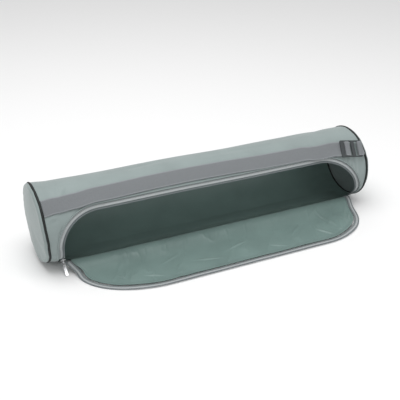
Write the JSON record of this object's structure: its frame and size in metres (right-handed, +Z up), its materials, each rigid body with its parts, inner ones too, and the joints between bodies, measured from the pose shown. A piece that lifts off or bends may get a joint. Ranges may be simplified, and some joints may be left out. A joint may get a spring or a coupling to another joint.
{
  "type": "yoga mat bag",
  "caption": "Soft tube bag lying on its side, its zipped front opened into a flap on the floor, with an adjustable carrying strap.",
  "frame": {"origin": "on the floor, under the middle of the tube, in its flattened underside", "axes": "+X along the tube to the end with the buckle, -Y to the side that opens, +Z up"},
  "size_m": [0.7009, 0.2527, 0.157],
  "materials": {
    "nylon": "smooth grey-green woven cloth with a soft sheen",
    "lining": "coated inner side of the same cloth, smooth and slightly shiny",
    "webbing": "ribbed grey webbing, dull",
    "piping": "dark covered cord",
    "tape": "light grey woven zip tape",
    "coil": "grey plastic coil",
    "metal": "bright plated zinc",
    "plastic": "dark grey moulded plastic"
  },
  "bodies": {
    "bag": {"tube_panel": "nylon", "end_panel_left": "nylon", "end_panel_right": "nylon", "piping_left": "piping", "piping_right": "piping", "flap": "lining", "zip_tape_tube": "tape", "zip_coil_tube": "coil", "zip_tape_flap": "tape", "zip_coil_flap": "coil", "zip_slider": "metal", "strap": "webbing", "end_strap": "webbing", "buckle": "plastic"},
    "pull_tab": {"pull_tab": "metal"}
  },
  "joints": [
    {"name": "pull_tab_hinge", "type": "hinge", "parent": "bag", "child": "pull_tab", "pos_m": [-0.31019, -0.04681, 0.01569], "axis": [-1, 0, 0], "range_deg": [0, 68]}
  ]
}
